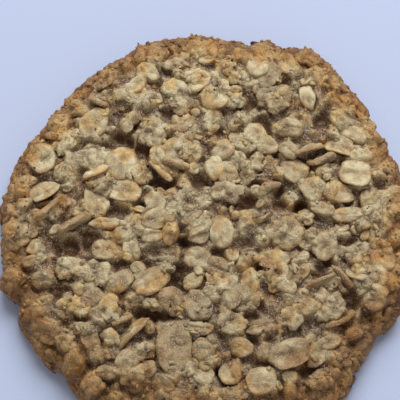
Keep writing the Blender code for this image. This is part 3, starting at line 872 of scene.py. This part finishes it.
def lumps(name, plates, chosen, draw, rings=18, sides=34, rise=1.15, sink=1.4):
    """Dough-coated lumps as closed blobs: an ellipsoid flattened below, pushed in and out by slow noise, by
    flakes, and by knobs of two sizes. The painted light is high where a point is pushed out, faces up and
    stands high, and on lumps with more tone. The dents, the faces that look down and the lumps that lie low
    get painted shade."""
    plates = {key: value[chosen] for key, value in plates.items()}
    count = len(plates["length"])
    ball = ball_points(np.linspace(0.0, np.pi, rings + 2)[1:-1], sides)[None]
    height = rise * draw.uniform(0.7, 1.4, count) * plates["side_ease"]
    depth = np.where(ball[..., 2] > 0, height[:, None], sink)
    local = np.stack([
        0.5 * plates["length"][:, None] * ball[..., 0],
        0.5 * plates["width"][:, None] * ball[..., 1],
        depth * ball[..., 2],
    ], axis=-1)
    salted = local + (np.arange(count) * 41.0)[:, None, None]
    bent = bend(salted, 0.6, 1.8, 100)
    fine = 1.7 * knobs(bent, 2.1, 105) + fine_crust(salted, 109)
    push = 0.6 * noise(salted, 3.2, 103) + 0.7 * flakes(bent, 3.0, 104) + fine
    push *= plates["side_ease"][:, None]
    along, across, out = (plates["axes"][:, None, axis] for axis in range(3))
    way = ball[..., 0:1] * along + ball[..., 1:2] * across + ball[..., 2:3] * out
    points = stand_on(plates["seat"], local, along, across, out) + way * push[..., None]
    tone = for_all(draw.uniform(0.0, 1.0, count), points)
    # Painted light and shade: darker in the dents, on faces that look down and on lumps that lie low
    pushed_out = 0.5 * smooth(-1.7, 0.8, push) + 0.5 * smooth(-1.0, 0.5, fine)
    facing_up = 0.45 + 0.55 * smooth(-0.2, 0.55, ball[..., 2])
    values = {
        "tone": tone,
        "browning": browning(points),
        "light_and_tone": pushed_out * (0.3 + 0.7 * standing_out(points)) * facing_up * (0.85 + 0.25 * tone),
    }
    piece = make_piece(name, points, ring_faces(rings, sides, count), values)
    return piece, points, values["light_and_tone"]


def crumbs(name, centres, draw, small, large, sides=7):
    """Loose and baked-on crumbs as small closed blobs: three rings between two poles, each point pushed
    in or out at random, in every direction and proportion."""
    count = len(centres)
    fall = np.radians([45.0, 90.0, 135.0])
    ball = ball_points(fall, sides)
    size = 0.5 * small * (large / small) ** draw.uniform(0.0, 1.0, count) ** 1.6
    shape = draw.uniform(0.55, 1.3, (count, 3)) * size[:, None]
    turn, _ = np.linalg.qr(draw.normal(0.0, 1.0, (count, 3, 3)))
    turn *= np.sign(np.linalg.det(turn))[:, None, None]
    push = 1.0 + draw.uniform(-0.32, 0.32, (count, len(ball)))
    local = ball[None] * shape[:, None] * push[..., None]
    points = centres[:, None] + np.einsum("npi,nij->npj", local, turn)
    tone = for_all(draw.uniform(0.2, 0.5, count), points)
    values = {
        "tone": tone,
        "browning": browning(points),
        # Painted shade: crumbs that lie low are darker, over a random tone
        "light_and_tone": for_all(draw.uniform(0.6, 1.1, count), points) * standing_out(points),
    }
    return make_piece(name, points, ring_faces(len(fall), sides, count), values)


def spots(points, weight, count, draw):
    """Picks places for crumbs among a piece's points, each as likely as its weight says."""
    weight = np.asarray(weight, dtype=float).reshape(-1)
    chosen = draw.choice(len(weight), count, p=weight / weight.sum())
    return points.reshape(-1, 3)[chosen] + draw.normal(0.0, 0.08, (count, 3))


def strewn_seats(draw, count, small, large, placed):
    """Seats for loose oats and scraps all over the top, in the same columns as the fixed ones, save where
    one would hide one of the listed oats or lie in a hollow."""
    angle = draw.uniform(0.0, 360.0, count)
    reach = STREWN_REACH * np.sqrt(draw.uniform(0.0, 1.0, count)) * outline_radius(angle)
    length = small * (large / small) ** draw.uniform(0.0, 1.0, count) ** 1.3
    width = length * draw.uniform(0.6, 0.95, count)
    kind = draw.choice(["oval", "oval", "curled"], count)
    turn = draw.uniform(0.0, 180.0, count)
    rows = []
    taken = np.array([(row[1], row[2], 0.2 * (row[4] + row[5])) for row in placed])
    for number in range(count):
        x = reach[number] * np.cos(np.radians(angle[number]))
        y = reach[number] * np.sin(np.radians(angle[number]))
        gap = np.hypot(taken[:, 0] - x, taken[:, 1] - y) - taken[:, 2] - 0.2 * length[number]
        if gap.min() > 0.0 and hollow_depth(x, y) < SHALLOW:
            rows.append((kind[number], x, y, None, length[number], width[number], turn[number]))
    return rows


def add(tree, kind, inputs=None, **settings):
    """Adds a node, sets its properties, and sets or links its inputs."""
    made = tree.nodes.new(kind)
    for name, value in settings.items():
        setattr(made, name, value)
    for name, value in (inputs or {}).items():
        if isinstance(value, bpy.types.NodeSocket):
            tree.links.new(value, made.inputs[name])
        else:
            made.inputs[name].default_value = value
    return made


def blend_colour(tree, factor, first, second, mode="MIX"):
    """Mixes two colours and gives the result's socket."""
    made = add(tree, "ShaderNodeMix", data_type="RGBA", blend_type=mode)
    for place, value in ((0, factor), (6, first), (7, second)):
        if isinstance(value, bpy.types.NodeSocket):
            tree.links.new(value, made.inputs[place])
        else:
            made.inputs[place].default_value = value
    return made.outputs[2]


def reckon(tree, operation, first, second=0.0, clamp=False):
    """One sum with two numbers, as a Math node's output."""
    made = add(tree, "ShaderNodeMath", {0: first, 1: second}, operation=operation, use_clamp=clamp)
    return made.outputs[0]


def times(tree, first, second):
    """The product of two numbers."""
    return reckon(tree, "MULTIPLY", first, second)


def noise_value(tree, place, scale, detail, roughness=0.5):
    """A noise's value, about a half in the mean, with the scale in waves a metre."""
    given = {"Vector": place, "Scale": scale, "Detail": detail, "Roughness": roughness}
    return add(tree, "ShaderNodeTexNoise", given).outputs["Fac"]


def stretch(tree, value, low, high, to_low=0.0, to_high=1.0):
    """Brings a value from one range to another and holds it there."""
    made = add(tree, "ShaderNodeMapRange", {"Value": value, "From Min": low, "From Max": high})
    made.inputs["To Min"].default_value = to_low
    made.inputs["To Max"].default_value = to_high
    return made.outputs["Result"]


def rgb(red, green, blue):
    """Linear colour from the 0 to 255 values that a screen shows."""
    shown = np.array([red, green, blue]) / 255.0
    linear = np.where(shown <= 0.04045, shown / 12.92, ((shown + 0.055) / 1.055) ** 2.4)
    return (*[float(part) for part in linear], 1.0)


# Colours that all the food shares: what patches are warmed by, what browning multiplies the raw colour by,
# the oats' lines and rims, painted glints that stand for highlights, flecks, and the painted shade inside
# pinholes. The last one is the floor's
WARM = rgb(254, 232, 197)
GOLDEN = rgb(244, 214, 174)
BROWN = rgb(190, 156, 130)
OAT_LINE = rgb(160, 124, 82)
OAT_RIM = rgb(196, 154, 100)
PAINTED_GLINT = rgb(210, 203, 194)
FLECK = rgb(120, 84, 50)
PINHOLE_SHADE = rgb(36, 24, 16)
FLOOR_COLOUR = rgb(201, 213, 243)

# Waves a metre of the noises: what bends the others, mottle, grit, grain, clusters of pinholes, warm
# patches
BEND_SCALE = 1100.0
MOTTLE_SCALE = 420.0
GRIT_SCALE = 1300.0
GRAIN_SCALE = 3000.0
CLUSTER_SCALE = 260.0
PATCH_SCALE = 240.0

# Value of the painted light at which the middle colour shows, and in metres the reach of the bending, the
# depth of the bump and the reach of the light that scatters in the food
MIDDLE_AT = 0.4
BEND_REACH = 0.0009
BUMP_DEPTH = 0.0004
SCATTER_REACH = 0.0007


def new_group(name, inputs, outputs):
    """An empty shader node group with named sockets."""
    group = bpy.data.node_groups.new(name, "ShaderNodeTree")
    for title, kind, value in inputs:
        socket = group.interface.new_socket(title, in_out="INPUT", socket_type=kind)
        socket.default_value = value
    for title, kind in outputs:
        group.interface.new_socket(title, in_out="OUTPUT", socket_type=kind)
    return group, group.nodes.new("NodeGroupInput"), group.nodes.new("NodeGroupOutput")


def speckle_group():
    """Mottle, grit and grain from noises of three sizes, brown flecks where the grit is high, dark
    pinholes round random points in clusters, and the height that goes with all of them."""
    group, given, result = new_group(
        "speckle",
        [("Pinholes", "NodeSocketFloat", 0.2)],
        [(name, "NodeSocketFloat") for name in ("Flecks", "Holes", "Mottle", "Grit", "Grain", "Height")],
    )
    place = add(group, "ShaderNodeTexCoord").outputs["Object"]
    bending = add(group, "ShaderNodeTexNoise", {"Vector": place, "Scale": BEND_SCALE, "Detail": 2.0})
    offset = add(
        group, "ShaderNodeVectorMath", {0: bending.outputs["Color"], "Scale": BEND_REACH}, operation="SCALE"
    )
    moved = add(group, "ShaderNodeVectorMath", {0: place, 1: offset.outputs[0]}, operation="ADD").outputs[0]
    mottle = noise_value(group, moved, MOTTLE_SCALE, 2.0)
    grit = noise_value(group, moved, GRIT_SCALE, 3.0, 0.6)
    grain = noise_value(group, place, GRAIN_SCALE, 2.0, 0.6)
    cluster = stretch(group, noise_value(group, moved, CLUSTER_SCALE, 1.0), 0.45, 0.65)
    points = add(group, "ShaderNodeTexVoronoi", {"Vector": moved, "Scale": MOTTLE_SCALE, "Randomness": 1.0})
    size = times(group, given.outputs["Pinholes"], cluster)
    hole = stretch(group, points.outputs["Distance"], size, 0.0)
    height = times(group, reckon(group, "ADD", grit, grain), 0.7)
    height = reckon(group, "ADD", reckon(group, "SUBTRACT", height, hole), mottle)
    results = {
        "Flecks": stretch(group, grit, 0.56, 0.7),
        "Holes": stretch(group, hole, 0.0, 0.35),
        "Mottle": mottle,
        "Grit": grit,
        "Grain": grain,
        "Height": height,
    }
    for name, value in results.items():
        group.links.new(value, result.inputs[name])
    return group


def bake_group():
    """Turns a raw colour golden and then brown with the share of browning, broken up by a mottle."""
    group, given, result = new_group(
        "oven browning",
        [("Colour", "NodeSocketColor", (1, 1, 1, 1)), ("Browning", "NodeSocketFloat", 0.0),
         ("Mottle", "NodeSocketFloat", 0.5)],
        [("Colour", "NodeSocketColor")],
    )
    raw = given.outputs["Colour"]
    uneven = times(group, reckon(group, "SUBTRACT", given.outputs["Mottle"], 0.5), 0.4)
    amount = reckon(group, "ADD", given.outputs["Browning"], uneven, True)
    golden = blend_colour(group, 1.0, raw, GOLDEN, "MULTIPLY")
    brown = blend_colour(group, 1.0, raw, BROWN, "MULTIPLY")
    half_baked = blend_colour(group, stretch(group, amount, 0.1, 0.55), raw, golden)
    baked = blend_colour(group, stretch(group, amount, 0.45, 1.0), half_baked, brown)
    group.links.new(baked, result.inputs["Colour"])
    return group


SPECKLE = speckle_group()
BAKE = bake_group()


def number_of(tree, name):
    """The piece's own number for each point under a name."""
    return add(tree, "ShaderNodeAttribute", attribute_name=name).outputs["Fac"]


def oat_streaks(tree, colour):
    """An oat's brown lines along its length, from a noise stretched on its own map, and its browner
    rim."""
    uv = add(tree, "ShaderNodeUVMap", uv_map="grain").outputs["UV"]
    drawn = add(tree, "ShaderNodeMapping", {"Vector": uv, "Scale": (0.5, 3.2, 1.0)}).outputs[0]
    lines = stretch(tree, noise_value(tree, drawn, 1.0, 3.0), 0.5, 0.75, 0.0, 0.4)
    colour = blend_colour(tree, lines, colour, OAT_LINE)
    rim = stretch(tree, number_of(tree, "edge"), 0.3, 1.0, 0.0, 0.4)
    return blend_colour(tree, rim, colour, OAT_RIM)


def food_material(name, dark, middle, pale, shine, contrast, bump=0.8, full_light_and_tone=1.0, streaks=False):
    """Baked food with painted light and shade: dark in the creases, low places and undersides, which is
    painted shade, and pale on the crowns, which is painted light, with the food's own tone mixed in. It is
    also less rough in the creases. Over that come warm patches, an oat's streaks, the shades of grain and
    grit by the contrast, painted glints that stand for highlights, flecks, the painted shade of pinholes,
    and the oven's browning last."""
    material = bpy.data.materials.new(name)
    material.use_nodes = True
    tree = material.node_tree
    shader = tree.nodes["Principled BSDF"]
    speckle = add(tree, "ShaderNodeGroup", node_tree=SPECKLE).outputs
    light_and_tone = stretch(tree, number_of(tree, "light_and_tone"), 0.0, full_light_and_tone)
    uneven = times(tree, reckon(tree, "SUBTRACT", speckle["Mottle"], 0.5), 0.7)
    varied = reckon(tree, "ADD", light_and_tone, uneven, True)
    # Painted light and shade: the dark colour goes in creases, low places and undersides and the pale one on
    # crowns, with the food's own tone and mottle mixed in
    colour = blend_colour(tree, stretch(tree, varied, 0.0, MIDDLE_AT), dark, middle)
    colour = blend_colour(tree, stretch(tree, varied, MIDDLE_AT, 1.0), colour, pale)

    place = add(tree, "ShaderNodeTexCoord").outputs["Object"]
    patches = stretch(tree, noise_value(tree, place, PATCH_SCALE, 1.0), 0.48, 0.62)
    warmth = reckon(tree, "MULTIPLY", patches, reckon(tree, "ADD", number_of(tree, "tone"), 0.3), True)
    colour = blend_colour(tree, warmth, colour, blend_colour(tree, 1.0, colour, WARM, "MULTIPLY"))
    if streaks:
        colour = oat_streaks(tree, colour)
    for pattern, darker, paler in (("Grain", 1.0, 0.8), ("Grit", 0.7, 0.5)):
        shade = stretch(tree, speckle[pattern], 0.34, 0.66, 1.0 - darker * contrast, 1.0 + paler * contrast)
        colour = blend_colour(tree, 1.0, colour, shade, "MULTIPLY")

    # Painted highlights: pale glints on the grain, strongest in the darker, lower places and faint on all
    # the rest
    glint_places = times(tree, stretch(tree, varied, 0.65, 0.4, 0.0, 0.8), stretch(tree, light_and_tone, 0.0, 0.2))
    painted_glints = times(tree, stretch(tree, speckle["Grain"], 0.53, 0.66), reckon(tree, "MAXIMUM", glint_places, 0.12))
    colour = blend_colour(tree, painted_glints, colour, PAINTED_GLINT)
    colour = blend_colour(tree, times(tree, speckle["Flecks"], 0.1), colour, FLECK)
    # Painted shade: near-black dots inside the pinholes
    colour = blend_colour(tree, times(tree, speckle["Holes"], 0.85), colour, PINHOLE_SHADE)
    raw = {"Colour": colour, "Mottle": speckle["Mottle"], "Browning": number_of(tree, "browning")}
    bake = add(tree, "ShaderNodeGroup", raw, node_tree=BAKE)
    tree.links.new(bake.outputs["Colour"], shader.inputs["Base Color"])
    tree.links.new(stretch(tree, varied, 0.1, 0.7, shine, 0.56), shader.inputs["Roughness"])
    relief = {"Height": speckle["Height"], "Strength": bump, "Distance": BUMP_DEPTH}
    tree.links.new(add(tree, "ShaderNodeBump", relief).outputs["Normal"], shader.inputs["Normal"])
    shader.inputs["Specular IOR Level"].default_value = 0.4
    shader.inputs["Subsurface Weight"].default_value = 0.4
    shader.inputs["Subsurface Radius"].default_value = (1.0, 0.8, 0.6)
    shader.inputs["Subsurface Scale"].default_value = SCATTER_REACH
    return material


def dress(piece, material):
    """Gives a piece one material."""
    piece.data.materials.clear()
    piece.data.materials.append(material)


def build_cookie():
    """Makes every piece of the cookie and dresses it."""
    dough = food_material(
        "baked dough", rgb(112, 82, 54), rgb(137, 110, 78), rgb(214, 198, 158), shine=0.45, contrast=0.3
    )
    oat = food_material(
        "rolled oat", rgb(110, 79, 48), rgb(162, 134, 93), rgb(238, 223, 182), shine=0.5, contrast=0.14,
        full_light_and_tone=0.97, streaks=True,
    )
    coat = food_material(
        "coated lump", rgb(107, 76, 48), rgb(140, 113, 79), rgb(226, 209, 169), shine=0.45, contrast=0.22
    )
    tray = food_material(
        "underside crust", rgb(96, 70, 46), rgb(148, 114, 76), rgb(186, 150, 106), shine=0.5, contrast=0.2,
        bump=0.6,
    )

    draw = np.random.default_rng(SEED + 1)
    fixed = seats()
    oat_count = len(OVAL_OATS) + len(CURLED_OATS) + len(STANDING_OATS)
    placed = fixed[:oat_count]
    by_hand = oat_count + len(DOUGH_LUMPS)
    upper = strewn_seats(draw, UPPER_COUNT, *UPPER_LENGTHS, placed)
    scraps = strewn_seats(draw, SCRAP_COUNT, *SCRAP_LENGTHS, placed)
    rows = fixed + upper + scraps
    parts = [by_hand, len(fixed) - by_hand, len(upper), len(scraps)]
    lean = np.repeat(SEAT_LEANS, parts)
    raised = np.repeat(SEAT_HEIGHTS, parts)
    raised += draw.uniform(0.0, 1.0, len(rows)) * np.repeat(SEAT_STRAYS, parts)
    plates = settle(rows, draw, lean, raised)
    is_lump = plates["kind"] == "lump"
    is_scrap = ~is_lump & (plates["length"] < FINE_LENGTH)

    piece, dough_points, dough_light_and_tone = crumb(plates)
    dress(piece, dough)
    dress(underside(), tray)
    dress(oats("rolled_oats", plates, ~is_lump & ~is_scrap, draw), oat)
    piece, lump_points, lump_light_and_tone = lumps("coated_lumps", plates, is_lump, draw)
    dress(piece, coat)
    bits = oats("broken_oats", plates, is_scrap, draw, rings=SCRAP_RINGS, sides=11, thick=0.22, ragged=0.25)
    dress(bits, oat)
    dough_weight = np.where(dough_points[:, 2] > CRUMB_START, dough_light_and_tone**2, 0.0)
    lump_weight = lump_light_and_tone * (lump_points[..., 2] > CRUMB_START)
    places = np.concatenate([
        spots(dough_points, dough_weight, DOUGH_CRUMBS, draw),
        spots(lump_points, lump_weight, LUMP_CRUMBS, draw),
    ])
    dress(crumbs("crumbs", places, draw, *CRUMB_SIZES), coat)


def camera():
    """The photograph's view, from high above the near side."""
    height = np.radians(VIEW_HEIGHT)
    aim = Vector(VIEW_AIM) * MM
    away = Vector((0.0, -np.cos(height), np.sin(height)))
    data = bpy.data.cameras.new("view")
    data.sensor_width = SENSOR_WIDTH
    data.lens = SENSOR_WIDTH * VIEW_DISTANCE / VIEW_WIDTH
    data.clip_start = 0.01
    view = bpy.data.objects.new("view", data)
    view.location = aim + away * VIEW_DISTANCE * MM
    view.rotation_euler = (-away).to_track_quat("-Z", "Y").to_euler()
    bpy.context.scene.collection.objects.link(view)
    bpy.context.scene.camera = view


def pale_floor():
    """A plain square floor, pale and a little blue."""
    mesh = bpy.data.meshes.new("floor")
    corners = [(-1, -1), (1, -1), (1, 1), (-1, 1)]
    mesh.from_pydata([(x * FLOOR_REACH, y * FLOOR_REACH, 0) for x, y in corners], [], [(0, 1, 2, 3)])
    floor = bpy.data.objects.new("floor", mesh)
    bpy.context.scene.collection.objects.link(floor)
    paint = bpy.data.materials.new("floor")
    paint.use_nodes = True
    shader = paint.node_tree.nodes["Principled BSDF"]
    shader.inputs["Base Color"].default_value = FLOOR_COLOUR
    shader.inputs["Roughness"].default_value = 0.8
    mesh.materials.append(paint)


def room_light():
    """Soft round lamps that look at the cookie, and a pale room."""
    for name, (place, width, power) in LIGHTS.items():
        light = bpy.data.lights.new(name, "AREA")
        light.shape = "DISK"
        light.size = width
        light.energy = power
        light.color = LIGHT_COLOUR
        lamp = bpy.data.objects.new(name, light)
        lamp.location = place
        lamp.rotation_euler = (-Vector(place)).to_track_quat("-Z", "Y").to_euler()
        bpy.context.scene.collection.objects.link(lamp)
    world = bpy.data.worlds.new("room")
    bpy.context.scene.world = world
    world.use_nodes = True
    background = world.node_tree.nodes["Background"]
    background.inputs["Color"].default_value = ROOM_COLOUR
    background.inputs["Strength"].default_value = ROOM_STRENGTH
    bpy.context.scene.view_settings.view_transform = "Standard"


build_cookie()
camera()
pale_floor()
room_light()
